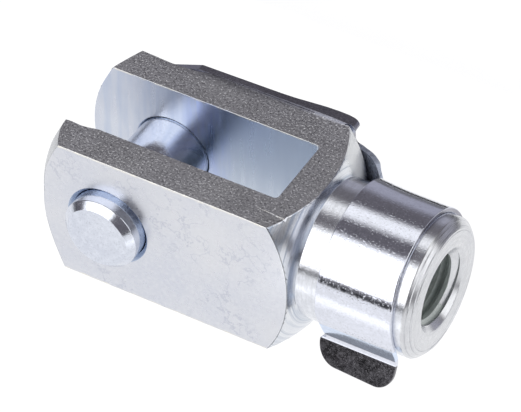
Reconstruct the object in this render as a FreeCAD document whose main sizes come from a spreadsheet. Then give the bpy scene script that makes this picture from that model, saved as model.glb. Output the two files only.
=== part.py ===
import FreeCAD, Part
import math
import os
import Sketcher
from FreeCAD import Vector, Placement, Rotation

# Fork head with clip pin, in millimetres.
# Origin: where the pin's axis crosses the thread's axis.
# +X runs from the pin to the threaded neck, Y is along the pin (the clip's plate
# is on the +Y side, the pin's free end on the -Y side), +Z is up.

os.makedirs("parts", exist_ok=True)
doc = FreeCAD.newDocument("rod_clevis")

# ------------------------------------------------------------------ dimensions
sheet = doc.addObject("Spreadsheet::Sheet", "dims")
sheet.Label = "dims"


class Dim:
    """A length with the sheet expression that gives it."""

    def __init__(self, value, text):
        self.v, self.e = float(value), text

    def _other(self, o):
        return o if isinstance(o, Dim) else Dim(o, repr(float(o)))

    def __add__(self, o):
        o = self._other(o)
        return Dim(self.v + o.v, "(%s + %s)" % (self.e, o.e))

    def __radd__(self, o):
        return self._other(o) + self

    def __sub__(self, o):
        o = self._other(o)
        return Dim(self.v - o.v, "(%s - %s)" % (self.e, o.e))

    def __rsub__(self, o):
        return self._other(o) - self

    def __mul__(self, o):
        o = self._other(o)
        return Dim(self.v * o.v, "(%s * %s)" % (self.e, o.e))

    def __rmul__(self, o):
        return self._other(o) * self

    def __truediv__(self, o):
        o = self._other(o)
        return Dim(self.v / o.v, "(%s / %s)" % (self.e, o.e))

    def __neg__(self):
        return Dim(-self.v, "(-1 * %s)" % self.e)


def root(d):
    return Dim(math.sqrt(d.v), "sqrt(%s)" % d.e)


def sine(deg):
    return Dim(math.sin(math.radians(deg.v)), "sin(%s * 1deg)" % deg.e)


def cosine(deg):
    return Dim(math.cos(math.radians(deg.v)), "cos(%s * 1deg)" % deg.e)


CELLS = [
    # fork
    ("jaw_size", 20.0, "square of the bar"),
    ("bar_edge", 0.2, "break on the bar's long edges"),
    ("tip_x", -12.0, "crown of the turned tip"),
    ("tip_round", 17.5, "radius of the crowned tip"),
    ("tip_join", 8.9, "radius where the crown runs into the cone"),
    ("slot_width", 10.3, "gap between the ears"),
    ("slot_floor", 20.5, "floor of the slot"),
    ("slot_corner", 0.5, "corner radius at the slot's floor"),
    ("pin_bore", 10.0, "bore across the ears"),
    ("bore_break", 0.45, "countersink at the bore's outer ends"),
    ("bore_inside_break", 0.15, "edge break at the bore's inner ends"),
    ("neck_start", 25.05, "shoulder meets the neck"),
    ("neck_bore_end", 40.0, "end face of the neck"),
    ("neck_size", 17.7, "diameter of the neck"),
    ("neck_break", 0.95, "chamfer at the neck's end"),
    ("neck_root", 0.35, "fillet at the neck's root"),
    ("shoulder_x", 21.8, "shoulder at the bar's corners"),
    ("shoulder_corner", 14.14, "radius of the bar's corners"),
    ("shoulder_bulge", 0.28, "rise of the shoulder's arc over its chord"),
    ("tap_size", 8.5, "core diameter of the M10 thread"),
    ("sink_size", 11.0, "countersink at the thread's mouth"),
    ("sink_depth", 1.25, "depth of that countersink"),
    ("slot_edge", 0.15, "break on the slot's long edges"),
    # pin
    ("pin_size", 9.9, "diameter of the pin"),
    ("pin_end", -12.45, "free end of the pin"),
    ("pin_chamfer", 0.85, "chamfer at the free end"),
    ("rivet_size", 6.0, "tenon through the clip"),
    ("rivet_head", 8.6, "upset head on the clip"),
    ("rivet_rise", 0.8, "height of that head"),
    ("rivet_crown", 0.35, "height of the head's rim"),
    # clip
    ("clip_gauge", 0.65, "sheet thickness"),
    ("plate_gap", 0.1, "plate to ear"),
    ("plate_head", 9.35, "radius of the plate's round end"),
    ("plate_top_left", 10.1, "plate's top edge near the pin"),
    ("plate_top_right", 10.4, "plate's top edge near the shoulder"),
    ("plate_low", 9.8, "plate's lower edge, below the axis"),
    ("bow_start", 13.0, "where the plate starts to lean away"),
    ("bow_round", 30.0, "radius of that lean"),
    ("bow_angle", 2.5, "lean of the plate, degrees"),
    ("jog_start", 22.5, "where the strip turns in to the neck"),
    ("jog_round", 4.0, "inner radius of the turn in"),
    ("jog_angle", 38.0, "slope of the strip round the shoulder, degrees"),
    ("jog_back", 0.9, "outer radius of the turn back"),
    ("band_inner", 8.88, "inner radius of the band"),
    ("band_left", 28.0, "band's edge beside the shoulder"),
    ("band_right", 38.6, "band blank's edge beside the neck's end"),
    ("band_low", 4.8, "band's far edge, below the axis"),
    ("band_leave", 16.0, "angle below the axis where the near side leaves the neck"),
    ("band_run", 3.0, "straight run below that"),
    ("lip_round", 0.7, "outer radius of the lip's bend"),
    ("lip_turn", 39.0, "turn of the lip's bend, degrees"),
    ("lip_run", 3.6, "length of the lip's blank"),
]
D = {}
for n, (alias, value, note) in enumerate(CELLS, start=1):
    sheet.set("A%d" % n, note)
    sheet.set("B%d" % n, repr(value))
    sheet.setAlias("B%d" % n, alias)
    D[alias] = Dim(value, "dims." + alias)
doc.recompute()


# ------------------------------------------------------------------- helpers
def plane(body, role):
    for f in body.Origin.OriginFeatures:
        if f.Role == role:
            return f
    raise RuntimeError(role)


def dim(x):
    return x if isinstance(x, Dim) else Dim(x, repr(float(x)))


def new_sketch(body, role, name, offset=None):
    sk = body.newObject("Sketcher::SketchObject", name)
    sk.AttachmentSupport = [(plane(body, role), "")]
    sk.MapMode = "FlatFace"
    if offset is not None:
        sk.AttachmentOffset = Placement(Vector(0, 0, offset.v), Rotation())
        sk.setExpression("AttachmentOffset.Base.z", offset.e)
    return sk


def pin_point(sk, geo, pos, x, y):
    """Hold one point of the sketch at (x, y), both bound to the sheet."""
    for kind, axis, value in (("DistanceX", -2, dim(x)), ("DistanceY", -1, dim(y))):
        if abs(value.v) < 1e-12:
            sk.addConstraint(Sketcher.Constraint("PointOnObject", geo, pos, axis))
        else:
            n = sk.addConstraint(
                Sketcher.Constraint(kind, -1, 1, geo, pos, value.v)
            )
            sk.setExpression("Constraints[%d]" % n, value.e)


def loop(sk, points, arcs=None):
    """A closed loop through the points. arcs: index of the span's first point ->
    (centre x, centre y, ccw), for the spans that are arcs."""
    arcs = arcs or {}
    n = len(points)
    pts = [(dim(a), dim(b)) for a, b in points]
    first = sk.GeometryCount
    ends = []
    for i in range(n):
        (ax, ay), (bx, by) = pts[i], pts[(i + 1) % n]
        p, q = Vector(ax.v, ay.v, 0), Vector(bx.v, by.v, 0)
        if i in arcs:
            cx, cy, ccw = dim(arcs[i][0]), dim(arcs[i][1]), arcs[i][2]
            c = Vector(cx.v, cy.v, 0)
            r = (p - c).Length
            a0 = math.atan2(p.y - c.y, p.x - c.x)
            a1 = math.atan2(q.y - c.y, q.x - c.x)
            circle = Part.Circle(c, Vector(0, 0, 1), r)
            if ccw:
                arc = Part.ArcOfCircle(circle, a0, a1 if a1 > a0 else a1 + 2 * math.pi)
                ends.append((1, 2))
            else:
                arc = Part.ArcOfCircle(circle, a1, a0 if a0 > a1 else a0 + 2 * math.pi)
                ends.append((2, 1))
            sk.addGeometry(arc, False)
        else:
            sk.addGeometry(Part.LineSegment(p, q), False)
            ends.append((1, 2))
    for i in range(n):
        j = (i + 1) % n
        sk.addConstraint(
            Sketcher.Constraint("Coincident", first + i, ends[i][1], first + j, ends[j][0])
        )
    for i in range(n):
        pin_point(sk, first + i, ends[i][0], *pts[i])
    for i in arcs:
        # the ends are held, so the centre's larger offset from the chord's
        # middle line fixes the arc
        cx, cy = dim(arcs[i][0]), dim(arcs[i][1])
        (ax, ay), (bx, by) = pts[i], pts[(i + 1) % n]
        use_x = abs(by.v - ay.v) > abs(bx.v - ax.v)
        kind, value, axis = (
            ("DistanceX", cx, -2) if use_x else ("DistanceY", cy, -1)
        )
        if abs(value.v) < 1e-12:
            sk.addConstraint(Sketcher.Constraint("PointOnObject", first + i, 3, axis))
        else:
            k = sk.addConstraint(
                Sketcher.Constraint(kind, -1, 1, first + i, 3, value.v)
            )
            sk.setExpression("Constraints[%d]" % k, value.e)


def circle(sk, x, y, radius):
    g = sk.addGeometry(
        Part.Circle(Vector(dim(x).v, dim(y).v, 0), Vector(0, 0, 1), radius.v), False
    )
    pin_point(sk, g, 3, x, y)
    n = sk.addConstraint(Sketcher.Constraint("Radius", g, radius.v))
    sk.setExpression("Constraints[%d]" % n, radius.e)


def finish(body, feature, less=None):
    """Recompute, and check that the feature did what it should to the volume."""
    before = getattr(finish, "volume", {}).get(body.Name, 0.0)
    doc.recompute()
    shape = feature.Shape
    if shape.isNull() or not shape.isValid():
        raise RuntimeError("%s failed" % feature.Name)
    change = shape.Volume - before
    if less is True and not change < -1e-3:
        raise RuntimeError("%s cut nothing" % feature.Name)
    if less is False and not change > 1e-3:
        raise RuntimeError("%s added nothing" % feature.Name)
    finish.volume[body.Name] = shape.Volume
    body.Tip = feature
    return feature


finish.volume = {}


def through(body, sk, name):
    cut = body.newObject("PartDesign::Pocket", name)
    cut.Profile = sk
    cut.SideType = "Symmetric"
    cut.Type = "ThroughAll"
    sk.Visibility = False
    return finish(body, cut, True)


def turned(body, kind, sk, name, axis="H_Axis"):
    f = body.newObject("PartDesign::" + kind, name)
    f.Profile = sk
    f.ReferenceAxis = (sk, [axis])
    f.Angle = 360.0
    sk.Visibility = False
    return finish(body, f, kind == "Groove")


def edges_where(shape, test):
    return ["Edge%d" % (n + 1) for n, e in enumerate(shape.Edges) if test(e)]


def chamfer(body, base, names, size, name):
    if not names:
        raise RuntimeError("no edges for " + name)
    f = body.newObject("PartDesign::Chamfer", name)
    f.Base = (base, names)
    f.Size = size.v
    f.setExpression("Size", size.e)
    return finish(body, f, True)


# ---------------------------------------------------------------- clevis fork
fork = doc.addObject("PartDesign::Body", "clevis_fork")
fork.Label = "clevis_fork"
fork.Placement = Placement()

# the square bar, along X
half = D["jaw_size"] / 2
brk = D["bar_edge"]
sk = new_sketch(fork, "YZ_Plane", "bar_section", D["tip_x"])
loop(
    sk,
    [
        (half - brk, -half),
        (half, -half + brk),
        (half, half - brk),
        (half - brk, half),
        (-half + brk, half),
        (-half, half - brk),
        (-half, -half + brk),
        (-half + brk, -half),
    ],
)
bar = fork.newObject("PartDesign::Pad", "bar")
bar.Profile = sk
bar.Length = 52.0
bar.setExpression("Length", (D["neck_bore_end"] - D["tip_x"]).e)
sk.Visibility = False
finish(fork, bar, False)

# the tip is turned: a crown about the thread's axis, then a cone that cuts the
# bar's corners back
out = Dim(16.0, "16.0")
rj = D["tip_join"]
centre_x = D["tip_x"] + D["tip_round"]
fall = root(D["tip_round"] * D["tip_round"] - rj * rj)
join_x = centre_x - fall
cone_x = join_x + (out - rj) * rj / fall
sk = new_sketch(fork, "XZ_Plane", "tip_profile")
loop(
    sk,
    [
        (D["tip_x"] - 1.5, 0),
        (D["tip_x"], 0),
        (join_x, rj),
        (cone_x, out),
        (D["tip_x"] - 1.5, out),
    ],
    {1: (centre_x, 0, False)},
)
turned(fork, "Groove", sk, "turned_tip")

# the shoulder and the neck are turned from the same bar
neck_r = D["neck_size"] / 2
end_x = D["neck_bore_end"]
nb = D["neck_break"]
rootr = D["neck_root"]
ax, ar = D["shoulder_x"], D["shoulder_corner"]
bx, br = D["neck_start"], neck_r
chord = root((bx - ax) * (bx - ax) + (ar - br) * (ar - br))
sag = D["shoulder_bulge"]
arc_r = (chord * chord / 4 + sag * sag) / (2 * sag)
mid_x, mid_r = (ax + bx) / 2, (ar + br) / 2
back = arc_r - sag
cx = mid_x - (ar - br) / chord * back
cr = mid_r - (bx - ax) / chord * back
# carried past the bar's corners, on the same arc
over_r = Dim(14.6, "14.6")
over_x = cx + root(arc_r * arc_r - (over_r - cr) * (over_r - cr))
sk = new_sketch(fork, "XZ_Plane", "neck_profile")
loop(
    sk,
    [
        (over_x, over_r),
        (bx - 0.12, br + 0.2),
        (bx + rootr, br),
        (end_x - nb, br),
        (end_x, br - nb),
        (end_x + 1.0, br - nb),
        (end_x + 1.0, out),
        (over_x, out),
    ],
    {0: (cx, cr, False)},
)
turned(fork, "Groove", sk, "turned_neck")

# the slot between the ears, open at the tip and at both sides
sw = D["slot_width"] / 2
sr = D["slot_corner"]
fx = D["slot_floor"]
sk = new_sketch(fork, "XY_Plane", "slot_outline")
loop(
    sk,
    [
        (D["tip_x"] - 2.0, -sw),
        (fx - sr, -sw),
        (fx, -sw + sr),
        (fx, sw - sr),
        (fx - sr, sw),
        (D["tip_x"] - 2.0, sw),
    ],
    {1: (fx - sr, -sw + sr, True), 3: (fx - sr, sw - sr, True)},
)
slot = through(fork, sk, "slot")

# the slot's long edges are broken a little
names = edges_where(
    slot.Shape,
    lambda e: e.Curve.TypeId == "Part::GeomLine"
    and abs(abs(e.Vertexes[0].Z) - half.v) < 1e-6
    and abs(abs(e.Vertexes[1].Z) - half.v) < 1e-6
    and abs(abs(e.Vertexes[0].Y) - sw.v) < 1e-6
    and abs(abs(e.Vertexes[1].Y) - sw.v) < 1e-6,
)
slot_break = chamfer(fork, slot, names, D["slot_edge"], "slot_edges")

# the pin's bore across both ears
sk = new_sketch(fork, "XZ_Plane", "pin_bore_outline")
circle(sk, 0, 0, D["pin_bore"] / 2)
cross = through(fork, sk, "pin_bore")


def bore_edges(shape, y):
    return edges_where(
        shape,
        lambda e: e.Curve.TypeId == "Part::GeomCircle"
        and abs(e.Curve.Radius - D["pin_bore"].v / 2) < 1e-6
        and abs(abs(e.Curve.Center.y) - y) < 1e-6,
    )


outer = chamfer(
    fork, cross, bore_edges(cross.Shape, half.v), D["bore_break"], "bore_mouths"
)
inner = chamfer(
    fork,
    outer,
    bore_edges(outer.Shape, sw.v),
    D["bore_inside_break"],
    "bore_inner_edges",
)

# the tapped hole through the neck into the slot, at the thread's core diameter,
# with its countersink
tap_r, sink_r = D["tap_size"] / 2, D["sink_size"] / 2
sk = new_sketch(fork, "XZ_Plane", "tap_profile")
loop(
    sk,
    [
        (fx - 1.0, 0),
        (end_x + 0.5, 0),
        (end_x + 0.5, sink_r + 0.5),
        (end_x, sink_r),
        (end_x - D["sink_depth"], tap_r),
        (fx - 1.0, tap_r),
    ],
)
turned(fork, "Groove", sk, "tapped_hole")

# ------------------------------------------------------------------ clevis pin
pin = doc.addObject("PartDesign::Body", "clevis_pin")
pin.Label = "clevis_pin"
pin.Placement = Placement()
gap, gauge = D["plate_gap"], D["clip_gauge"]
plate_in = half + gap
plate_out = plate_in + gauge
pr, pc = D["pin_size"] / 2, D["pin_chamfer"]
sk = new_sketch(pin, "YZ_Plane", "pin_profile")
loop(
    sk,
    [
        (D["pin_end"], 0),
        (plate_out + D["rivet_rise"], 0),
        (plate_out + D["rivet_rise"], D["rivet_head"] / 2 - 1.4),
        (plate_out + D["rivet_crown"], D["rivet_head"] / 2),
        (plate_out, D["rivet_head"] / 2),
        (plate_out, D["rivet_size"] / 2),
        (plate_in, D["rivet_size"] / 2),
        (plate_in, pr),
        (D["pin_end"] + pc, pr),
        (D["pin_end"], pr - pc),
    ],
)
turned(pin, "Revolution", sk, "pin_turned")

# ----------------------------------------------------------------- spring clip
clip = doc.addObject("PartDesign::Body", "spring_clip")
clip.Label = "spring_clip"
clip.Placement = Placement()

# the strip beside the far ear, seen from above: flat past the pin, leaning away
# a little, turned in round the shoulder, then flat beside the neck
b1, lean = D["bow_round"], D["bow_angle"]
sl, cl = sine(lean), cosine(lean)
p1 = (D["bow_start"], plate_in)
p2 = (p1[0] + b1 * sl, p1[1] + b1 * (1 - cl))
jx = D["jog_start"]
p3 = (jx, p2[1] + (jx - p2[0]) * sl / cl)
r2 = D["jog_round"]
c2 = (p3[0] + r2 * sl, p3[1] - r2 * cl)
sj, cj = sine(D["jog_angle"]), cosine(D["jog_angle"])
p4 = (c2[0] + r2 * sj, c2[1] + r2 * cj)
flat_y = D["band_inner"]
r3 = D["jog_back"] + gauge
p5y = flat_y + r3 * (1 - cj)
p5 = (p4[0] + (p4[1] - p5y) * cj / sj, p5y)
c3 = (p5[0] + r3 * sj, p5[1] + r3 * cj)
p6 = (c3[0], flat_y)
far_end = D["band_left"] + 0.5
q1 = (p1[0], p1[1] + gauge)
q2 = (p2[0] - gauge * sl, p2[1] + gauge * cl)
q3 = (p3[0] - gauge * sl, p3[1] + gauge * cl)
q4 = (p4[0] + gauge * sj, p4[1] + gauge * cj)
q5 = (p5[0] + gauge * sj, p5[1] + gauge * cj)
q6 = (p6[0], p6[1] + gauge)
c1 = (p1[0], p1[1] + b1)
left = -D["plate_head"] - 0.6
sk = new_sketch(clip, "XY_Plane", "strip_profile")
loop(
    sk,
    [
        (left, plate_in),
        p1,
        p2,
        p3,
        p4,
        p5,
        p6,
        (far_end, flat_y),
        (far_end, flat_y + gauge),
        q6,
        q5,
        q4,
        q3,
        q2,
        q1,
        (left, plate_out),
    ],
    {
        1: (c1[0], c1[1], True),
        3: (c2[0], c2[1], False),
        5: (c3[0], c3[1], True),
        9: (c3[0], c3[1], False),
        11: (c2[0], c2[1], True),
        13: (c1[0], c1[1], False),
    },
)
strip = clip.newObject("PartDesign::Pad", "strip")
strip.Profile = sk
strip.SideType = "Symmetric"
strip.Length = 24.0
sk.Visibility = False
finish(clip, strip, False)

# its outline, seen from the side: a round end about the pin, a wide plate, and a
# waist that runs to the band. What is outside the outline is cut away.
hr = D["plate_head"]
lo = D["plate_low"]
tl, tr = D["plate_top_left"], D["plate_top_right"]
bl, low = D["band_left"], D["band_low"]
h1 = Dim(-1.1, "-1.1")
h1z = root(hr * hr - h1 * h1)
h2 = Dim(-1.6, "-1.6")
h2z = -root(hr * hr - h2 * h2)
outline = [
    (h1, h1z),
    (1.4, tl),
    (19.9, tr),
    (22.5, tr - 2.6),
    (22.5, 6.9),
    (23.1, 6.3),
    (25.5, 6.3),
    (26.7, 5.1),
    (27.1, 3.9),
    (28.0, 3.2),
    (bl + 0.6, 0.0),
    (bl + 0.6, -low),
    (26.6, -low),
    (23.4, -5.2),
    (22.5, -6.1),
    (22.5, -lo + 2.3),
    (20.2, -lo),
    (1.0, -lo),
    (h2, h2z),
]
sk = new_sketch(clip, "XZ_Plane", "outline_cut")
m = 14.0
loop(sk, [(-m, -m), (32.0, -m), (32.0, m), (-m, m)])
loop(
    sk,
    outline,
    {
        2: (19.9, tr - 2.6, False),
        4: (23.1, 6.9, True),
        6: (25.5, 5.1, False),
        13: (23.4, -6.1, True),
        15: (20.2, -lo + 2.3, False),
        18: (0, 0, False),
    },
)
through(clip, sk, "outline")

# the band: an open hoop over the neck, from the far side over the top to the
# near side, leaving the neck below its axis and flaring out as a lip
ri = D["band_inner"]
ro = ri + gauge
sa, ca = sine(D["band_leave"]), cosine(D["band_leave"])
i1 = (-ri * ca, -ri * sa)
o1 = (-ro * ca, -ro * sa)
run = D["band_run"]
i2 = (i1[0] + run * sa, i1[1] - run * ca)
o2 = (o1[0] + run * sa, o1[1] - run * ca)
rb = D["lip_round"]
cb = (o2[0] - rb * ca, o2[1] - rb * sa)
turn = D["lip_turn"] - D["band_leave"]
st, ct = sine(turn), cosine(turn)
o3 = (cb[0] + rb * ct, cb[1] - rb * st)
i3 = (cb[0] + (rb + gauge) * ct, cb[1] - (rb + gauge) * st)
lip = D["lip_run"]
o4 = (o3[0] - lip * st, o3[1] - lip * ct)
i4 = (i3[0] - lip * st, i3[1] - lip * ct)
sk = new_sketch(clip, "YZ_Plane", "band_profile", D["band_left"])
loop(
    sk,
    [
        (ro, -low),
        (ro, 0),
        o1,
        o2,
        o3,
        o4,
        i4,
        i3,
        i2,
        i1,
        (ri, 0),
        (ri, -low),
    ],
    {
        1: (0, 0, True),
        3: (cb[0], cb[1], False),
        7: (cb[0], cb[1], True),
        9: (0, 0, False),
    },
)
band = clip.newObject("PartDesign::Pad", "band")
band.Profile = sk
band.Length = 10.6
band.setExpression("Length", (D["band_right"] - D["band_left"]).e)
sk.Visibility = False
finish(clip, band, False)

# the band's free edge beside the neck's end runs a little askew
sk = new_sketch(clip, "XZ_Plane", "band_edge_cut")
loop(
    sk,
    [
        (37.45, 12.0),
        (37.6, 8.0),
        (38.3, -4.0),
        (38.3, -12.0),
        (41.0, -12.0),
        (41.0, 12.0),
    ],
)
through(clip, sk, "band_edge")

# on the near side the lip's corners are round, and a relief nick marks the left
# end of its bend
sk = new_sketch(clip, "XZ_Plane", "lip_outline")
loop(
    sk,
    [
        (38.4, -7.2),
        (38.3, -7.2),
        (36.2, -9.3),
        (31.0, -9.05),
        (28.2, -6.25),
        (28.9, -5.6),
        (bl, -2.4),
        (bl - 0.6, -2.4),
        (bl - 0.6, -12.0),
        (41.0, -12.0),
        (41.0, -7.2),
    ],
    {
        1: (36.2, -7.2, False),
        3: (31.0, -6.25, False),
    },
)
nick = clip.newObject("PartDesign::Pocket", "lip_corners")
nick.Profile = sk
nick.Type = "ThroughAll"
nick.Reversed = True
sk.Visibility = False
finish(clip, nick, True)

# the hole for the pin's tenon
sk = new_sketch(clip, "XZ_Plane", "tenon_hole")
circle(sk, 0, 0, D["rivet_size"] / 2)
through(clip, sk, "tenon_hole_cut")

# ------------------------------------------------------------- checks, writing
doc.recompute()
bad = [o.Name for o in doc.Objects if "Invalid" in o.State or "Error" in o.State]
if bad:
    raise RuntimeError("failed objects: %s" % bad)
for body in (fork, pin, clip):
    shape = body.Shape
    if shape.isNull() or not shape.isValid():
        raise RuntimeError("%s has no valid shape" % body.Label)
    if len(shape.Solids) != 1:
        raise RuntimeError("%s has %d solids" % (body.Label, len(shape.Solids)))
for body in (fork, pin, clip):
    body.Shape.exportStep("parts/%s.step" % body.Label)
    box = body.Shape.BoundBox
    print(
        "%-12s %9.1f mm3  x %.2f..%.2f  y %.2f..%.2f  z %.2f..%.2f"
        % (body.Label, body.Shape.Volume, box.XMin, box.XMax, box.YMin, box.YMax, box.ZMin, box.ZMax)
    )
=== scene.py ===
import bpy, bmesh, math
import numpy as np
from mathutils import Vector, Matrix


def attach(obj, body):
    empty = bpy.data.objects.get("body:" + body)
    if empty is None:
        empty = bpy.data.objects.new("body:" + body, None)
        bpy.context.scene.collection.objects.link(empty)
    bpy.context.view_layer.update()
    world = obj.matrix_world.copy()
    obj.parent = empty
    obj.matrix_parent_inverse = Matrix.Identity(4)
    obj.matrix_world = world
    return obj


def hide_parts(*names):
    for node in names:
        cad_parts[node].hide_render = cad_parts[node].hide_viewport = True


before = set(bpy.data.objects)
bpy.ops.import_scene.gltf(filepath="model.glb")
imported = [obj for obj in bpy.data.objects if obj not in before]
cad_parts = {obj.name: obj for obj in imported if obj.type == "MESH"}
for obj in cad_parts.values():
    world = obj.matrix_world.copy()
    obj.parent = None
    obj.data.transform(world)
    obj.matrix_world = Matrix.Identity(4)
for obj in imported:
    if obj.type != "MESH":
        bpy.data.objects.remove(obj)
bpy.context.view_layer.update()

MM = 0.001
scene = bpy.context.scene


# ------------------------------------------------------------- mesh helpers
# Shapes are made in millimetres, in the CAD's own frame, and scaled to metres at the end.
def new_object(name, bm):
    me = bpy.data.meshes.new(name)
    bm.to_mesh(me)
    bm.free()
    ob = bpy.data.objects.new(name, me)
    scene.collection.objects.link(ob)
    return ob


def lathe(profile, axis="X", n=256):
    """A closed solid of revolution from (along, radius) points that start and end on the axis."""
    bm = bmesh.new()
    rings = []
    for a, r in profile:
        if r < 1e-9:
            p = (a, 0, 0) if axis == "X" else (0, a, 0)
            rings.append([bm.verts.new(p)])
            continue
        ring = []
        for k in range(n):
            t = 2 * math.pi * (k + 0.5) / n
            c, s = r * math.cos(t), r * math.sin(t)
            ring.append(bm.verts.new((a, c, s) if axis == "X" else (s, a, c)))
        rings.append(ring)
    for p, q in zip(rings, rings[1:]):
        for k in range(n):
            j = (k + 1) % n
            if len(p) == 1:
                bm.faces.new((p[0], q[k], q[j]))
            elif len(q) == 1:
                bm.faces.new((p[k], q[0], p[j]))
            else:
                bm.faces.new((p[k], q[k], q[j], p[j]))
    bmesh.ops.recalc_face_normals(bm, faces=bm.faces)
    return bm


def prism(points, lo, hi, plane):
    """A prism over a closed outline. plane: YZ (along X), XY (along Z)."""
    bm = bmesh.new()

    def at(a, b, h):
        return (h, a, b) if plane == "YZ" else (a, b, h)

    low = [bm.verts.new(at(a, b, lo)) for a, b in points]
    top = [bm.verts.new(at(a, b, hi)) for a, b in points]
    bm.faces.new(low)
    bm.faces.new(top)
    for k in range(len(points)):
        j = (k + 1) % len(points)
        bm.faces.new((low[k], low[j], top[j], top[k]))
    bmesh.ops.recalc_face_normals(bm, faces=bm.faces)
    return bm


def arc(cx, cy, r, a0, a1, n):
    return [
        (
            cx + r * math.cos(math.radians(a0 + (a1 - a0) * k / n)),
            cy + r * math.sin(math.radians(a0 + (a1 - a0) * k / n)),
        )
        for k in range(n + 1)
    ]


def rounded(points, radii, seg=5):
    """An open polyline with fillets of the given radii at its inner points."""
    out = [points[0]]
    for k in range(1, len(points) - 1):
        r = radii[k]
        p, a, b = Vector(points[k]), Vector(points[k - 1]), Vector(points[k + 1])
        if r <= 0:
            out.append(points[k])
            continue
        u, v = (a - p).normalized(), (b - p).normalized()
        half = math.acos(max(-1.0, min(1.0, u.dot(v)))) / 2
        d = min(r / math.tan(half), 0.49 * (a - p).length, 0.49 * (b - p).length)
        s, e = p + u * d, p + v * d
        c = p + (u + v).normalized() * (d / math.cos(half))
        a0 = math.atan2(s.y - c.y, s.x - c.x)
        a1 = math.atan2(e.y - c.y, e.x - c.x)
        turn = (a1 - a0 + math.pi) % (2 * math.pi) - math.pi
        rr = (s - c).length
        for i in range(seg + 1):
            t = a0 + turn * i / seg
            out.append((c.x + rr * math.cos(t), c.y + rr * math.sin(t)))
    out.append(points[-1])
    return out


def applied(ob):
    """The object's mesh with its modifiers applied."""
    deps = bpy.context.evaluated_depsgraph_get()
    me = bpy.data.meshes.new_from_object(ob.evaluated_get(deps))
    old = ob.data
    ob.modifiers.clear()
    ob.data = me
    bpy.data.meshes.remove(old)
    return ob


def boolean(ob, cutter_bm, op):
    cutter = new_object("cutter", cutter_bm)
    m = ob.modifiers.new("cut", "BOOLEAN")
    m.operation, m.object, m.solver = op, cutter, "EXACT"
    applied(ob)
    me = cutter.data
    bpy.data.objects.remove(cutter)
    bpy.data.meshes.remove(me)
    return ob


def tidy(ob, dist=1e-4):
    bm = bmesh.new()
    bm.from_mesh(ob.data)
    bmesh.ops.remove_doubles(bm, verts=bm.verts, dist=dist)
    bmesh.ops.dissolve_degenerate(bm, dist=dist, edges=bm.edges)
    bmesh.ops.recalc_face_normals(bm, faces=bm.faces)
    bm.to_mesh(ob.data)
    bm.free()


def bevel(ob, width, segments=3, angle=30, pick=None):
    """Rounds the edges sharper than the angle. pick gives an edge's share of the width."""
    bm = bmesh.new()
    bm.from_mesh(ob.data)
    layer = bm.edges.layers.float.new("bevel_weight_edge")
    limit = math.radians(angle)
    for e in bm.edges:
        if len(e.link_faces) == 2 and e.calc_face_angle() > limit:
            e[layer] = 1.0 if pick is None else pick(e)
    bm.to_mesh(ob.data)
    bm.free()
    m = ob.modifiers.new("edges", "BEVEL")
    m.width, m.segments, m.limit_method = width, segments, "WEIGHT"
    m.use_clamp_overlap = False
    m.harden_normals = False
    applied(ob)


def smooth(ob, angle=32):
    """Smooth shading, weighted so that the flats stay flat and only the edge strips turn."""
    me = ob.data
    me.shade_smooth()
    me.set_sharp_from_angle(angle=math.radians(angle))
    m = ob.modifiers.new("normals", "WEIGHTED_NORMAL")
    m.keep_sharp, m.weight = True, 80
    applied(ob)


def to_metres(ob):
    ob.data.transform(Matrix.Scale(MM, 4))
    ob.data.update()


# --------------------------------------------------------------- clevis fork
def crown_x(r):
    """The turned tip: an arc, and a cone from where it ends."""
    c, R, join = 5.5, 17.5, 8.9
    if r < join:
        return c - math.sqrt(R * R - r * r)
    fall = math.sqrt(R * R - join * join)
    return c - fall + (r - join) * join / fall


def turned_profile():
    crown_c, crown_r, join = 5.5, 17.5, 8.9
    a = math.degrees(math.asin(join / crown_r))
    pts = [(-12.0, 0.0)]
    for k in range(1, 19):
        t = math.radians(a * k / 18)
        pts.append((crown_c - crown_r * math.cos(t), crown_r * math.sin(t)))
    fall = math.sqrt(crown_r**2 - join**2)
    jx = crown_c - fall
    out = 16.0
    for r in (9.6, 10.3, 11.0, 11.7, 12.4, 13.1, 13.7, out):
        pts.append((jx + (r - join) * join / fall, r))
    # the shoulder's arc
    ax, ar, bx, br = 21.8, 14.14, 25.05, 8.85
    chord, sag = math.hypot(bx - ax, ar - br), 0.28
    R = (chord**2 / 4 + sag**2) / (2 * sag)
    back = R - sag
    cx = (ax + bx) / 2 - (ar - br) / chord * back
    cr = (ar + br) / 2 - (bx - ax) / chord * back
    rs = np.linspace(16.0, br + 0.16, 22)
    first = True
    for r in rs:
        x = cx + math.sqrt(R**2 - (r - cr) ** 2)
        if first:
            pts.append((x, out))
            first = False
        else:
            pts.append((x, r))
    # the neck's root, neck, chamfer, end face, countersink and core bore
    lx, lr = pts[-1]
    tail = rounded(
        [
            (lx, lr),
            (bx + 0.02, br),
            (40 - 0.95, br),
            (39.36, 8.60),
            (39.36, 8.53),
            (39.43, 8.52),
            (39.80, 8.13),
            (39.79, 8.06),
            (39.86, 8.05),
            (40, br - 0.98),
            (40, 7.62),
            (39.955, 7.58),
            (40, 7.54),
            (40, 5.5),
            (38.75, 4.25),
            (18.0, 4.25),
        ],
        [0, 0.25, 0.3, 0, 0, 0, 0, 0, 0, 0.08, 0, 0, 0, 0.6, 0.0, 0],
        5,
    )
    pts += tail[1:]
    pts.append((18.0, 0.0))
    return pts


def bar_outline(h=10.0):
    return [(h, h), (-h, h), (-h, -h), (h, -h)]


def slot_outline():
    w, f, r = 5.15, 20.5, 0.5
    pts = [(-14.0, -w)]
    pts += arc(f - r, -w + r, r, -90, 0, 12)
    pts += arc(f - r, w - r, r, 0, 90, 12)
    pts.append((-14.0, w))
    return pts


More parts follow.
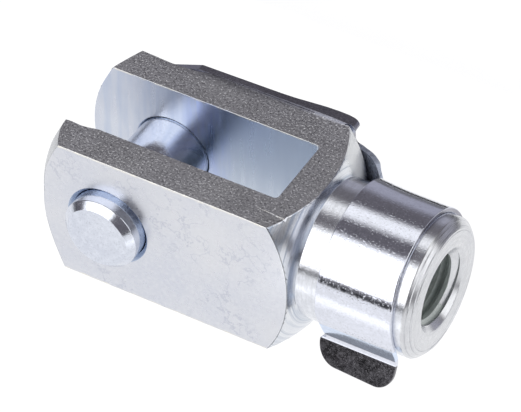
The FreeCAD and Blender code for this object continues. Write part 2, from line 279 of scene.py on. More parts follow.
def bore_profile():
    """The cross bore with a soft countersink at its outer ends."""
    side = rounded(
        [(-13.0, 8.3), (-10.0, 5.52), (-9.42, 5.0), (-5.35, 5.0), (-5.0, 5.3)],
        [0, 0.0, 0.35, 0.12, 0],
        5,
    )
    left = [(-13.0, 0.0)] + side
    right = [(-y, r) for y, r in reversed(side)] + [(13.0, 0.0)]
    # between the ears the cutter only has to stay inside the slot
    return left + right


def thread_cutter(core=4.22, major=5.0, pitch=1.5, x0=17.6, x1=42.0, n=96):
    """A right-handed thread's tool: a core with the thread's ridge wound round it."""
    prof = [(0.0, core), (0.22, core), (0.50, major), (0.62, major), (0.90, core)]
    per = len(prof)
    turns = int(math.ceil((x1 - x0) / pitch))
    bm = bmesh.new()
    rows = []
    for i in range(turns * per + 1):
        k, j = divmod(i, per)
        s, r = prof[j]
        row = []
        for m in range(n + 1):
            t = 2 * math.pi * m / n
            x = x0 + pitch * (k + s) + pitch * m / n
            row.append((x, r * math.cos(t), r * math.sin(t)))
        rows.append(row)
    verts = {}

    def vert(i, m):
        # the last column is the first one of the row a turn further on
        if m == n and i + per < len(rows):
            i, m = i + per, 0
        if (i, m) not in verts:
            verts[i, m] = bm.verts.new(rows[i][m])
        return verts[i, m]

    for i in range(len(rows) - 1):
        for m in range(n):
            q = [vert(i, m), vert(i, m + 1), vert(i + 1, m + 1), vert(i + 1, m)]
            bm.faces.new(q)
    bm.edges.ensure_lookup_table()
    rim = [e for e in bm.edges if len(e.link_faces) == 1]
    # each open end is closed to a point on the axis
    groups = []
    left = set(rim)
    while left:
        e = left.pop()
        group, stack = [e], list(e.verts)
        while stack:
            v = stack.pop()
            for f in v.link_edges:
                if f in left:
                    left.remove(f)
                    group.append(f)
                    stack += list(f.verts)
        groups.append(group)
    for group in groups:
        vs = {v for e in group for v in e.verts}
        mean = sum(v.co.x for v in vs) / len(vs)
        c = bm.verts.new((mean + (-1.5 if mean < 30 else 1.5), 0, 0))
        for e in group:
            bm.faces.new((e.verts[0], e.verts[1], c))
    bmesh.ops.recalc_face_normals(bm, faces=bm.faces)
    return bm


def edge_facet():
    """A shallow worn strip that the tools left along the near top edge, by the shoulder."""
    bm = bmesh.new()
    low = [(17.9, -7.45, 10.02), (17.9, -10.6, 10.02), (24.0, -10.6, 9.83), (24.0, -7.75, 9.86)]
    v0 = [bm.verts.new(p) for p in low]
    v1 = [bm.verts.new((x, y, 11.0)) for x, y, z in low]
    bm.faces.new(v0)
    bm.faces.new(v1)
    for k in range(4):
        j = (k + 1) % 4
        bm.faces.new((v0[k], v0[j], v1[j], v1[k]))
    bmesh.ops.recalc_face_normals(bm, faces=bm.faces)
    return bm


def edge_wear():
    """The far top edge is worn off beside the slot's open end, up to where the plate covers it."""
    bm = bmesh.new()
    rows = []
    for x, c in ((-13.0, 0.46), (-6.65, 0.47), (-2.7, 0.70), (0.5, 0.50), (3.4, -0.05)):
        rows.append([bm.verts.new(p) for p in ((x, 9.0, 11.0 - c), (x, 11.0 - c, 9.0), (x, 11.2, 11.2))])
    bm.faces.new(rows[0])
    bm.faces.new(rows[-1])
    for p, q in zip(rows, rows[1:]):
        for k in range(3):
            j = (k + 1) % 3
            bm.faces.new((p[k], p[j], q[j], q[k]))
    bmesh.ops.recalc_face_normals(bm, faces=bm.faces)
    return bm


def corner_wear():
    """The near ear's top edge beside the slot is slightly rubbed off at its open end."""
    bm = bmesh.new()
    rows = []
    for x, c in ((-13.0, 0.6), (-8.6, 0.5), (-7.6, 0.38), (-6.9, 0.43), (-6.1, 0.5), (-4.9, 0.31), (-3.4, -0.05)):
        rows.append([bm.verts.new(p) for p in ((x, -6.15 - c, 11.0), (x, -4.15 - c, 9.0), (x, -3.8, 11.2))])
    bm.faces.new(rows[0])
    bm.faces.new(rows[-1])
    for p, q in zip(rows, rows[1:]):
        for k in range(3):
            j = (k + 1) % 3
            bm.faces.new((p[k], p[j], q[j], q[k]))
    bmesh.ops.recalc_face_normals(bm, faces=bm.faces)
    return bm


def fuller_tip(ob):
    """The near ear's crown is a little fuller on its upper half than the turned shape."""
    bm = bmesh.new()
    bm.from_mesh(ob.data)
    # short edges at the crown's outline would spoil the bevel: each goes into its end on the outline
    def planes(v):
        return sum(abs(abs(a) - b) < 1e-3 for a, b in ((v.co.y, 10.0), (v.co.z, 10.0), (v.co.y, 5.15)))

    weld, used = {}, set()
    for e in bm.edges:
        a, b = e.verts
        m = (a.co + b.co) / 2
        if max(a.co.x, b.co.x) > -5.5 or math.hypot(m.y, m.z) < 8.95 or e.calc_length() > 0.12:
            continue
        if a in used or b in used or (m.z > 9.0 and (abs(m.y) < 6.8 or m.y > 9.0)):
            continue
        keep, drop = (a, b) if planes(a) >= planes(b) else (b, a)
        weld[drop] = keep
        used |= {a, b}
    bmesh.ops.weld_verts(bm, targetmap=weld)
    bm.to_mesh(ob.data)
    bm.free()
    for v in ob.data.vertices:
        x, y, z = v.co
        if x > -4.5 or y > -5.0 or z < 1.0:
            continue
        r = math.hypot(y, z)
        if x > crown_x(r) + 0.02:
            continue
        g = 1 - ((r - 10.3) / 3.84) ** 2 if r > 10.3 else (r / 10.3) ** 3
        t = min(1.0, (z - 1.0) / 5.0)
        u = min(1.0, (-y - 5.0) / 2.6)
        v.co.x = x - 0.42 * max(0.0, g) * t * t * (3 - 2 * t) * u * u * (3 - 2 * u)


def make_fork():
    ob = new_object("fork_head", lathe(turned_profile(), "X", 264))
    boolean(ob, thread_cutter(), "DIFFERENCE")
    boolean(ob, prism(bar_outline(), -14.0, 44.0, "YZ"), "INTERSECT")
    boolean(ob, prism(slot_outline(), -12.0, 12.0, "XY"), "DIFFERENCE")
    boolean(ob, lathe(bore_profile(), "Y", 160), "DIFFERENCE")
    boolean(ob, edge_facet(), "DIFFERENCE")
    boolean(ob, edge_wear(), "DIFFERENCE")
    boolean(ob, corner_wear(), "DIFFERENCE")
    tidy(ob, 5e-3)
    fuller_tip(ob)

    def share(e):
        a, b = e.verts[0].co, e.verts[1].co
        m = (a + b) / 2
        if m.x > 20.6 and math.hypot(m.y, m.z) < 5.45:
            return 0.0  # the thread
        if m.x > 39.1 and math.hypot(m.y, m.z) > 7.4:
            return 0.0  # the end's fine grooves
        if 17.0 < m.x and m.y < -7.0 and m.z > 9.7 and abs(m.z - 9.93) < 0.1 and abs(m.y + 7.6) < 0.25:
            return 0.0  # the worn strip's step
        if m.y > 9.2 and m.z > 9.2 and m.x < 3.5:
            return 0.22  # the worn part of the far edge
        if m.x < -4.2 and -6.2 < m.y < -5.0 and m.z > 9.2:
            return 0.3  # the worn part of the near ear's edge
        if abs(m.y) > 9.99 and abs(m.z) > 9.6:
            return 0.5 if m.y < 0 else 0.22  # the bar's long edges
        if math.hypot(m.x, m.z) < 6.5 and abs(m.y) > 5.0:
            return 0.3  # the bore's mouths
        if abs(abs(m.y) - 5.15) < 0.05 and abs(m.z) > 9.9:
            return 0.4  # the slot's long edges
        return 0.55

    bevel(ob, 0.2, 3, 31, share)
    tidy(ob, 2e-5)
    smooth(ob)
    to_metres(ob)
    return ob


# ----------------------------------------------------------------- clevis pin
def make_pin():
    pts = rounded(
        [
            (-12.45, 0.0),
            (-12.45, 4.1),
            (-11.6, 4.95),
            (10.1, 4.95),
            (10.1, 3.0),
            (10.75, 3.0),
            (10.75, 4.3),
            (11.1, 4.3),
            (11.5, 3.1),
            (11.55, 0.0),
        ],
        [0, 0.16, 0.2, 0.06, 0, 0, 0.05, 0.15, 0.9, 0],
        6,
    )
    ob = new_object("clevis_pin_turned", lathe(pts, "Y", 192))
    smooth(ob)
    to_metres(ob)
    return ob


# ---------------------------------------------------------------- spring clip
G = 0.65
R_MID = 8.88 + G / 2


def strip_curve():
    """The middle of the strip beside the far ear, as (x, y) and the slope there."""
    rad = math.radians
    lean, b1 = rad(2.5), 30.0
    y0 = 10.1
    g = G / 2
    p2 = (13.0 + b1 * math.sin(lean), y0 + b1 * (1 - math.cos(lean)))
    jx = 22.5
    p3 = (jx, p2[1] + (jx - p2[0]) * math.tan(lean))
    c2 = (p3[0] + 4 * math.sin(lean), p3[1] - 4 * math.cos(lean))
    j = rad(38.0)
    p4 = (c2[0] + 4 * math.sin(j), c2[1] + 4 * math.cos(j))
    r3 = 0.9 + G
    p5y = 8.88 + r3 * (1 - math.cos(j))
    p5 = (p4[0] + (p4[1] - p5y) / math.tan(j), p5y)
    c3 = (p5[0] + r3 * math.sin(j), p5[1] + r3 * math.cos(j))
    pts = [(-12.0, y0 + g), (13.0, y0 + g)]
    for k in range(1, 9):
        a = lean * k / 8
        pts.append((13.0 + (b1 - g) * math.sin(a), y0 + b1 - (b1 - g) * math.cos(a)))
    for k in range(0, 25):
        a = -lean + (j + lean) * k / 24
        pts.append((c2[0] + (4 + g) * math.sin(a), c2[1] + (4 + g) * math.cos(a)))
    for k in range(0, 17):
        a = j * (1 - k / 16)
        pts.append((c3[0] - (r3 - g) * math.sin(a), c3[1] - (r3 - g) * math.cos(a)))
    pts.append((60.0, 8.88 + g))
    return np.array(pts)


STRIP = strip_curve()


def band_path():
    """The band's middle line: length along it, y, z, and the outward normal."""
    rows = []
    for w in (-8.0, -4.8, -2.0, 0.0):
        rows.append((w, R_MID, w, 1.0, 0.0))
    end = 180 + 16.0
    n = 196
    for k in range(1, n + 1):
        a = math.radians(end * k / n)
        rows.append((R_MID * a, R_MID * math.cos(a), R_MID * math.sin(a), math.cos(a), math.sin(a)))
    w, y, z, ny, nz = rows[-1]
    # straight on, then the lip's bend outwards, then the lip
    ty, tz = -nz, ny  # heading down and a little inwards
    run = 2.81
    y, z, w = y + ty * run, z + tz * run, w + run
    rows.append((w, y, z, ny, nz))
    rb = 1.2 + G / 2
    cy, cz = y + ny * rb, z + nz * rb
    a0 = math.atan2(-nz, -ny)
    turn = math.radians(41.3)
    for k in range(1, 13):
        a = a0 - turn * k / 12
        y, z = cy + rb * math.cos(a), cz + rb * math.sin(a)
        rows.append((w + rb * turn * k / 12, y, z, -math.cos(a), -math.sin(a)))
    w, y, z, ny, nz = rows[-1]
    ty, tz = -nz, ny
    rows.append((w + 5.0, y + ty * 5.0, z + tz * 5.0, ny, nz))
    return np.array(rows)


BAND = band_path()
W_TOP = R_MID * math.pi / 2


def near_w(z):
    """Length along the band of the height z on the near side."""
    rows = BAND[BAND[:, 0] >= W_TOP]
    return float(np.interp(-z, -rows[:, 2], rows[:, 0]))


def far_w(z):
    return z if z <= 0 else R_MID * math.asin(min(1.0, z / R_MID))


def right_x(z):
    return float(np.interp(z, [-12, -4, 8, 12], [38.3, 38.3, 37.6, 37.45]))


def clip_outline():
    pts = arc(0, 0, 9.35, 130.0, 260.1, 44)
    pts += [(1.0, -9.8)]
    pts += arc(20.2, -7.5, 2.3, -90, 0, 10)
    pts += arc(23.4, -6.1, 0.9, 180, 90, 7)
    pts += [(25.0, -5.02), (26.0, -4.88), (27.0, -4.8), (34.0, -4.8)]
    pts += arc(37.7, -4.2, 0.6, -90, 0, 6)
    # up the far side, over the top and down the near side along the right edge
    for z in np.linspace(-3.5, 8.6, 18):
        pts.append((right_x(z), far_w(z)))
    for a in np.linspace(72, 108, 9):
        pts.append((right_x(R_MID * math.sin(math.radians(a))), R_MID * math.radians(a)))
    for z in np.linspace(8.6, -7.1, 30):
        pts.append((right_x(z), near_w(z)))
    for x, z in arc(36.2, -7.2, 2.1, 0, -90, 12):
        pts.append((x, near_w(z)))
    for x in (34.9, 33.6, 32.3):
        pts.append((x, near_w(-9.3 + 0.25 * (36.2 - x) / 5.2)))
    for x, z in arc(31.0, -6.25, 2.8, -90, -180, 14):
        pts.append((x, near_w(z)))
    # the relief nick and the left edge, up and over to the waist
    for x, z in arc(28.62, -5.72, 0.3, -120, 40, 6):
        pts.append((x, near_w(z)))
    for x, z in ((28.6, -4.9), (28.35, -3.7), (28.14, -2.6), (28.04, -1.6), (28.0, -0.5)):
        pts.append((x, near_w(z)))
    for z in np.linspace(0.8, 8.6, 12):
        pts.append((28.0, near_w(z)))
    for a in np.linspace(110, 70, 9):
        pts.append((28.0, R_MID * math.radians(a)))
    for z in np.linspace(8.4, 4.9, 7):
        pts.append((28.0, far_w(z)))
    pts += arc(27.55 + 0.45 - 0.62, far_w(4.4) - 0.0, 0.62, 0, -90, 6)[1:-1]
    pts += [(27.2, 4.2), (27.12, 4.7)]
    pts += arc(25.8, 5.15, 1.25, 0, 90, 8)
    pts += arc(22.5, 7.0, 0.6, 270, 180, 6)
    pts += [(21.85, 8.3), (22.3, 8.95), (22.46, 9.3), (22.38, 9.6), (22.15, 9.85), (21.7, 10.08), (21.0, 10.24)]
    pts += [(19.6, 10.33), (17.5, 10.33), (14.0, 10.28), (10.0, 10.19), (5.0, 10.08), (1.1, 10.0)]
    clean = [pts[0]]
    for p in pts[1:]:
        if math.dist(p, clean[-1]) > 0.03:
            clean.append(p)
    return clean


def clip_place(x, w, t):
    """The point of the folded clip for the flat pattern's (x, w), t off its middle."""
    y = float(np.interp(x, STRIP[:, 0], STRIP[:, 1]))
    e = 0.08
    dy = float(np.interp(x + e, STRIP[:, 0], STRIP[:, 1])) - float(
        np.interp(x - e, STRIP[:, 0], STRIP[:, 1])
    )
    l = math.hypot(dy, 2 * e)
    if t < 0:
        # the sheared edge is burred inwards, so the plate closes on the ear
        t -= (y - G / 2 - 10.02) * (1 - min(1.0, max(0.0, (x - 21.0) / 2.0))) * -t / (G / 2)
    elif x < 23.6:
        flare = 0.17 + 0.25 * min(1.0, max(0.0, (x - 13.0) / 5.0))
        t += flare * t / (G / 2) * min(1.0, (23.6 - x) / 1.6)
    flat = np.array((x - t * dy / l, y + t * 2 * e / l, w))
    if x < 25.9:
        return flat
    by, bz, ny, nz = (float(np.interp(w, BAND[:, 0], BAND[:, k])) for k in (1, 2, 3, 4))
    l = math.hypot(ny, nz)
    # the band swells a little where the strip runs into it, over the far top
    swell = math.exp(-(((w - 8.0) / 3.6) ** 2)) * max(0.0, 1 - (x - 26.5) / 6.5) ** 2
    t += 0.36 * swell * (1 if w > 0 else 0)
    hoop = np.array((x, by + t * ny / l, bz + t * nz / l))
    s = min(1.0, max(0.0, (x - 25.9) / (28.0 - 25.9)))
    s = s * s * (3 - 2 * s)
    return flat * (1 - s) + hoop * s


def make_clip():
    outline = clip_outline()
    bm = prism(outline, -G / 2, G / 2, "XY")
    hole = lathe([(-2, 0), (-2, 3.0), (2, 3.0), (2, 0)], "Y", 96)
    bmesh.ops.rotate(hole, verts=hole.verts, cent=(0, 0, 0), matrix=Matrix.Rotation(math.pi / 2, 3, "X"))
    ob = new_object("spring_clip_folded", bm)
    boolean(ob, hole, "DIFFERENCE")
    tidy(ob)
    bend = float(BAND[-3, 0])

    def share(e):
        m = (e.verts[0].co + e.verts[1].co) / 2
        if m.x < 27.4:
            return 0.0 if m.z < 0 else 0.3  # sheared: sharp towards the ear
        if m.x > 36.5 and m.y < bend - 1.5:
            return 1.8  # the band's edge at the neck's end is worn round
        return 0.9

    bevel(ob, 0.11, 3, 40, share)
    bm = bmesh.new()
    bm.from_mesh(ob.data)
    bm.faces.ensure_lookup_table()
    for f in bm.faces:
        c, n = f.calc_center_median(), f.normal
        # 0 the sheet, 1 the plate's sheared edges and painted shade in the gaps, 2 the lip in painted dark reflection,
        # 3 the waist's inner side in painted shade
        f.material_index = 1 if abs(n.z) < 0.9 and c.x < 24.0 else 0
        # painted shade: the band's right edge face is darkened for the shadow in the gap beside the neck
        if c.x > 36.0 and n.x > 0.9 and 4.0 < c.y < 19.0:
            f.material_index = 1
    cuts = [((0, 9.9, 0), (0, 1, 0)), ((0, 10.17, 0), (0, 1, 0)), ((17.0, 0, 0), (1, 0, 0))]
    cuts += [((x, 0, 0), (1, 0, 0)) for x in np.arange(-8, 20, 2.0)]
    cuts += [((x, 0, 0), (1, 0, 0)) for x in np.arange(20.5, 28.01, 0.25)]
    cuts += [((x, 0, 0), (1, 0, 0)) for x in np.arange(28.5, 38.4, 0.75)]
    w = -4.0
    while w < BAND[-2, 0] + 5:
        cuts.append(((0, w, 0), (0, 1, 0)))
        w += 0.11 if 33.9 < w < 36.0 else 0.32
    for co, no in cuts:
        bmesh.ops.bisect_plane(
            bm,
            geom=bm.verts[:] + bm.edges[:] + bm.faces[:],
            plane_co=co,
            plane_no=no,
            dist=1e-5,
        )
    for f in bm.faces:
        c = f.calc_center_median()
        # the lip: painted dark reflection
        if f.material_index == 0 and c.x > 27.0 and c.y > bend:
            f.material_index = 2
        # the run above the lip: painted bluish reflection of the shade under the band
        if f.material_index == 0 and c.x > 27.0 and bend - 3.0 < c.y < bend - 1.0:
            f.material_index = 4  # the run above the lip
        if f.material_index == 0 and c.z < 0 and c.x < 23.0 and c.y > (9.1 if c.x < 6.0 else 9.9 if c.x < 17.0 else 10.08):
            f.material_index = 1  # the sheared edge rolls over to the ear's side, darkened further as painted shade in the gap between the plate and the ear
        if f.material_index == 0 and c.z < 0 and 21.5 < c.x < 27.6 and -5 < c.y < 7.5:
            f.material_index = 3  # the waist's inner side, in painted shade
    for v in bm.verts:
        v.co = Vector(clip_place(v.co.x, v.co.y, v.co.z))
    bmesh.ops.recalc_face_normals(bm, faces=bm.faces)
    if bm.calc_volume(signed=True) < 0:
        bmesh.ops.reverse_faces(bm, faces=bm.faces)
    bm.to_mesh(ob.data)
    bm.free()
    smooth(ob, 40)
    to_metres(ob)
    parts = np.zeros(len(ob.data.polygons), np.int32)
    ob.data.polygons.foreach_get("material_index", parts)
    return ob, parts


fork = make_fork()
pin = make_pin()
clip, clip_parts = make_clip()
for ob, node, body, slot in (
    (fork, "clevis_fork", "fork", "fork_steel"),
    (pin, "clevis_pin", "clip", "pin_steel"),
    (clip, "spring_clip", "clip", "clip_steel"),
):
    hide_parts(node)
    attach(ob, body)


# -------------------------------------------------------------------- materials
def nodes_of(name):
    mat = bpy.data.materials.new(name)
    mat.use_nodes = True
    nt = mat.node_tree
    nt.nodes.clear()
    out = nt.nodes.new("ShaderNodeOutputMaterial")
    sh = nt.nodes.new("ShaderNodeBsdfPrincipled")
    nt.links.new(sh.outputs[0], out.inputs[0])
    return mat, nt, sh


def coords(nt, scale=(1, 1, 1), space="Object"):
    tc = nt.nodes.new("ShaderNodeTexCoord")
    mp = nt.nodes.new("ShaderNodeMapping")
    mp.inputs["Scale"].default_value = scale
    nt.links.new(tc.outputs[space], mp.inputs["Vector"])
    return mp.outputs[0]


def noise(nt, vec, scale, detail=2.0, rough=0.5, lac=2.0):
    n = nt.nodes.new("ShaderNodeTexNoise")
    n.inputs["Scale"].default_value = scale
    n.inputs["Detail"].default_value = detail
    n.inputs["Roughness"].default_value = rough
    n.inputs["Lacunarity"].default_value = lac
    nt.links.new(vec, n.inputs["Vector"])
    return n.outputs["Fac"]


def ramp(nt, fac, stops):
    r = nt.nodes.new("ShaderNodeValToRGB")
    r.color_ramp.elements[0].position, r.color_ramp.elements[0].color = stops[0][0], (*stops[0][1], 1)
    r.color_ramp.elements[1].position, r.color_ramp.elements[1].color = stops[1][0], (*stops[1][1], 1)
    for pos, col in stops[2:]:
        e = r.color_ramp.elements.new(pos)
        e.color = (*col, 1)
    nt.links.new(fac, r.inputs[0])
    return r.outputs[0]


def span(nt, fac, lo, hi, a=0.0, b=1.0):
    m = nt.nodes.new("ShaderNodeMapRange")
    m.inputs["From Min"].default_value, m.inputs["From Max"].default_value = a, b
    m.inputs["To Min"].default_value, m.inputs["To Max"].default_value = lo, hi
    nt.links.new(fac, m.inputs["Value"])
    return m.outputs[0]


def bump(nt, height, dist, strength=1.0, normal=None):
    b = nt.nodes.new("ShaderNodeBump")
    b.inputs["Strength"].default_value = strength
    b.inputs["Distance"].default_value = dist
    nt.links.new(height, b.inputs["Height"])
    if normal is not None:
        nt.links.new(normal, b.inputs["Normal"])
    return b.outputs[0]


def mix(nt, a, b, fac):
    m = nt.nodes.new("ShaderNodeMix")
    m.data_type = "RGBA"
    for s, v in ((m.inputs[6], a), (m.inputs[7], b)):
        if isinstance(v, tuple):
            s.default_value = (*v, 1)
        else:
            nt.links.new(v, s)
    if isinstance(fac, float):
        m.inputs[0].default_value = fac
    else:
        nt.links.new(fac, m.inputs[0])
    return m.outputs[2]


def math_node(nt, op, *vals):
    n = nt.nodes.new("ShaderNodeMath")
    n.operation = op
    for k, v in enumerate(vals):
        if isinstance(v, (int, float)):
            n.inputs[k].default_value = v
        else:
            nt.links.new(v, n.inputs[k])
    return n.outputs[0]


def step(nt, v, at, soft, lo=0.0, hi=1.0):
    """A soft step from lo to hi where v passes the value."""
    m = nt.nodes.new("ShaderNodeMapRange")
    m.interpolation_type = "SMOOTHSTEP"
    m.inputs["From Min"].default_value, m.inputs["From Max"].default_value = at - soft, at + soft
    m.inputs["To Min"].default_value, m.inputs["To Max"].default_value = lo, hi
    nt.links.new(v, m.inputs["Value"])
    return m.outputs[0]


def between(nt, v, lo, hi, soft):
    return math_node(nt, "MULTIPLY", step(nt, v, lo, soft), step(nt, v, hi, soft, 1.0, 0.0))


def rings(nt, slow=0.03):
    """Coordinates that follow the tool round the X axis: along, radius, and a slow drift."""
    tc = nt.nodes.new("ShaderNodeTexCoord")
    sep = nt.nodes.new("ShaderNodeSeparateXYZ")
    nt.links.new(tc.outputs["Object"], sep.inputs[0])
    y2 = math_node(nt, "MULTIPLY", sep.outputs[1], sep.outputs[1])
    z2 = math_node(nt, "MULTIPLY", sep.outputs[2], sep.outputs[2])
    r = math_node(nt, "SQRT", math_node(nt, "ADD", y2, z2))
    com = nt.nodes.new("ShaderNodeCombineXYZ")
    nt.links.new(sep.outputs[0], com.inputs[0])
    nt.links.new(r, com.inputs[1])
    drift = math_node(nt, "MULTIPLY", math_node(nt, "ADD", sep.outputs[1], sep.outputs[2]), slow)
    nt.links.new(drift, com.inputs[2])
    return com.outputs[0]


def zinc(
    name, low, high, rough, rough_var=0.04, cloud=120.0, grain=1500.0, grain_h=2.0e-6, stretch=(1, 1, 1),
    fleck=0.0, fleck_scale=4200.0, fleck_dark=0.25, ring=0.0, ring_scale=2600.0, aniso=0.0, metal=1.0,
):
    """Bright zinc on steel: a cloudy tint, a fine grain, raised flecks and the tool's rings."""
    mat, nt, sh = nodes_of(name)
    sh.inputs["Metallic"].default_value = metal
    v = coords(nt, stretch)
    c1 = noise(nt, coords(nt), cloud, 3.0, 0.55)
    c2 = noise(nt, v, grain, 2.0, 0.6)
    base = ramp(nt, c1, [(0.35, low), (0.68, high)])
    spark = span(nt, c2, 0.0, 0.7, 0.4, 0.75)
    base = mix(nt, base, tuple(min(1.0, x * 1.1) for x in high), spark)
    normal = bump(nt, c2, grain_h)
    rvar = c2
    if ring:
        c3 = noise(nt, rings(nt), ring_scale, 3.0, 0.65)
        base = mix(nt, base, tuple(x * 0.9 for x in low), span(nt, c3, 0.0, 0.6, 0.45, 0.7))
        normal = bump(nt, c3, ring, normal=normal)
        rvar = c3
    if fleck:
        c4 = noise(nt, coords(nt), fleck_scale, 1.5, 0.5)
        dots = span(nt, c4, 0.0, 1.0, 0.57, 0.72)
        base = mix(nt, base, tuple(x * 0.6 for x in low), span(nt, c4, 0.0, fleck_dark, 0.44, 0.30))
        normal = bump(nt, dots, fleck, normal=normal)
    nt.links.new(base, sh.inputs["Base Color"])
    nt.links.new(span(nt, rvar, rough - rough_var, rough + rough_var, 0.3, 0.7), sh.inputs["Roughness"])
    nt.links.new(normal, sh.inputs["Normal"])
    if aniso:
        tan = nt.nodes.new("ShaderNodeTangent")
        tan.direction_type, tan.axis = "RADIAL", "X"
        nt.links.new(tan.outputs[0], sh.inputs["Tangent"])
        sh.inputs["Anisotropic"].default_value = aniso
        sh.inputs["Anisotropic Rotation"].default_value = 0.25
    return mat


def shoulder_zinc():
    """The turned shoulder: the tool's dark rings, and a painted highlight on the far side by the clip."""
    mat, nt, sh = nodes_of("zinc_shoulder")
    c1 = noise(nt, coords(nt), 150.0, 3.0, 0.55)
    c2 = noise(nt, rings(nt), 1500.0, 4.0, 0.7)
    c3 = noise(nt, rings(nt, 0.25), 700.0, 3.0, 0.6)
    base = ramp(nt, c1, [(0.35, (0.66, 0.68, 0.73)), (0.68, (0.74, 0.76, 0.79))])
    base = mix(nt, base, (0.36, 0.41, 0.50), span(nt, c2, 0.0, 0.95, 0.48, 0.62))
    base = mix(nt, base, (0.44, 0.49, 0.58), span(nt, c3, 0.0, 0.7, 0.48, 0.62))
    tc = nt.nodes.new("ShaderNodeTexCoord")
    sep = nt.nodes.new("ShaderNodeSeparateXYZ")
    nt.links.new(tc.outputs["Object"], sep.inputs[0])
    # painted highlight: a pale, dull, less metallic patch on the far shoulder by the clip, for the light it catches
    # there
    painted_highlight = math_node(nt, "MULTIPLY", step(nt, sep.outputs[1], 0.0052, 0.0012), step(nt, sep.outputs[2], 0.0044, 0.0022))
    base = mix(nt, base, (0.98, 1.0, 1.0), math_node(nt, "MULTIPLY", painted_highlight, 0.9))
    flat = step(nt, math_node(nt, "ABSOLUTE", sep.outputs[1]), 0.00990, 0.00004)
    base = mix(nt, base, (0.24, 0.25, 0.27), math_node(nt, "MULTIPLY", flat, 0.8))
    nt.links.new(base, sh.inputs["Base Color"])
    nt.links.new(span(nt, painted_highlight, 1.0, 0.30), sh.inputs["Metallic"])
    nt.links.new(math_node(nt, "ADD", span(nt, c2, 0.14, 0.26, 0.3, 0.7), math_node(nt, "MULTIPLY", painted_highlight, 0.25)), sh.inputs["Roughness"])
    n = bump(nt, c2, 7.0e-6)
    nt.links.new(bump(nt, c3, 6.0e-6, normal=n), sh.inputs["Normal"])
    tan = nt.nodes.new("ShaderNodeTangent")
    tan.direction_type, tan.axis = "RADIAL", "X"
    nt.links.new(tan.outputs[0], sh.inputs["Tangent"])
    sh.inputs["Anisotropic"].default_value = 0.5
    sh.inputs["Anisotropic Rotation"].default_value = 0.25
    return mat


def top_zinc():
    """The sawn top and bottom: dull, with a dense grain of small bright and dark crystals."""
    mat, nt, sh = nodes_of("zinc_top")
    sh.inputs["Metallic"].default_value = 1.0
    v = coords(nt)
    c1 = noise(nt, v, 260.0, 3.0, 0.6)
    c2 = noise(nt, v, 3300.0, 2.0, 0.6)
    c3 = noise(nt, v, 3900.0, 1.0, 0.5)
    base = ramp(nt, c1, [(0.35, (0.49, 0.49, 0.505)), (0.68, (0.58, 0.58, 0.605))])
    base = mix(nt, base, (0.26, 0.26, 0.28), span(nt, c2, 0.0, 0.95, 0.5, 0.30))
    c4 = noise(nt, v, 130.0, 2.0, 0.5)
    many = span(nt, c4, 0.60, 1.0, 0.38, 0.60)
    base = mix(nt, base, (1.0, 1.0, 1.0), math_node(nt, "MULTIPLY", span(nt, c3, 0.0, 1.0, 0.58, 0.72), many))
    base = mix(nt, base, (0.66, 0.665, 0.655), span(nt, c4, 0.0, 0.35, 0.45, 0.70))
    # painted shade along the far edge, where the plate lies against it, darkest in a narrow strip at the very edge
    tc = nt.nodes.new("ShaderNodeTexCoord")
    sep = nt.nodes.new("ShaderNodeSeparateXYZ")
    nt.links.new(tc.outputs["Object"], sep.inputs[0])
    wob = math_node(nt, "ADD", sep.outputs[1], math_node(nt, "MULTIPLY", c1, 0.0020))
    plate_shade = math_node(nt, "MULTIPLY", step(nt, wob, 0.0100, 0.0008), between(nt, sep.outputs[0], -0.0045, 0.0115, 0.0035))
    edge = math_node(nt, "MULTIPLY", step(nt, wob, 0.0107, 0.0004), between(nt, sep.outputs[0], 0.002, 0.0165, 0.0015))
    base = mix(nt, base, (0.22, 0.22, 0.25), math_node(nt, "MULTIPLY", plate_shade, 0.55))
    base = mix(nt, base, (0.16, 0.16, 0.18), math_node(nt, "MULTIPLY", edge, 0.7))
    nt.links.new(base, sh.inputs["Base Color"])
    nt.links.new(span(nt, c2, 0.28, 0.40, 0.3, 0.7), sh.inputs["Roughness"])
    n = bump(nt, c2, 2.4e-5)
    dots = span(nt, c3, 0.0, 1.0, 0.57, 0.74)
    nt.links.new(bump(nt, dots, 2.6e-5, normal=n), sh.inputs["Normal"])
    return mat


def side_zinc():
    """The drawn sides: a soft sheen, faint wandering stains and edges worn pale."""
    mat, nt, sh = nodes_of("zinc_side")
    sh.inputs["Metallic"].default_value = 1.0
    v = coords(nt)
    c1 = noise(nt, v, 95.0, 3.0, 0.55)
    c2 = noise(nt, v, 1600.0, 2.0, 0.6)
    c3 = noise(nt, v, 300.0, 4.0, 0.6)
    c4 = noise(nt, v, 140.0, 2.0, 0.5)
    base = ramp(nt, c1, [(0.35, (0.60, 0.62, 0.685)), (0.68, (0.665, 0.675, 0.71))])
    base = mix(nt, base, (0.72, 0.73, 0.77), span(nt, c2, 0.0, 0.6, 0.45, 0.75))
    line = between(nt, c3, 0.488, 0.512, 0.010)
    line = math_node(nt, "MULTIPLY", line, step(nt, c4, 0.54, 0.06))
    base = mix(nt, base, (0.46, 0.48, 0.56), math_node(nt, "MULTIPLY", line, 0.55))
    tc = nt.nodes.new("ShaderNodeTexCoord")
    sep = nt.nodes.new("ShaderNodeSeparateXYZ")
    nt.links.new(tc.outputs["Object"], sep.inputs[0])
    rim = math_node(nt, "ADD", math_node(nt, "ABSOLUTE", sep.outputs[2]), math_node(nt, "MULTIPLY", noise(nt, v, 900.0, 3.0), 0.0004))
    patchy = span(nt, noise(nt, v, 700.0, 2.0), 0.35, 1.0, 0.40, 0.60)
    worn = math_node(nt, "MULTIPLY", step(nt, rim, 0.00998, 0.00010), patchy)
    base = mix(nt, base, (0.80, 0.78, 0.73), worn)
    nt.links.new(base, sh.inputs["Base Color"])
    nt.links.new(span(nt, c2, 0.26, 0.34, 0.3, 0.7), sh.inputs["Roughness"])
    nt.links.new(bump(nt, c2, 3.0e-6), sh.inputs["Normal"])
    return mat


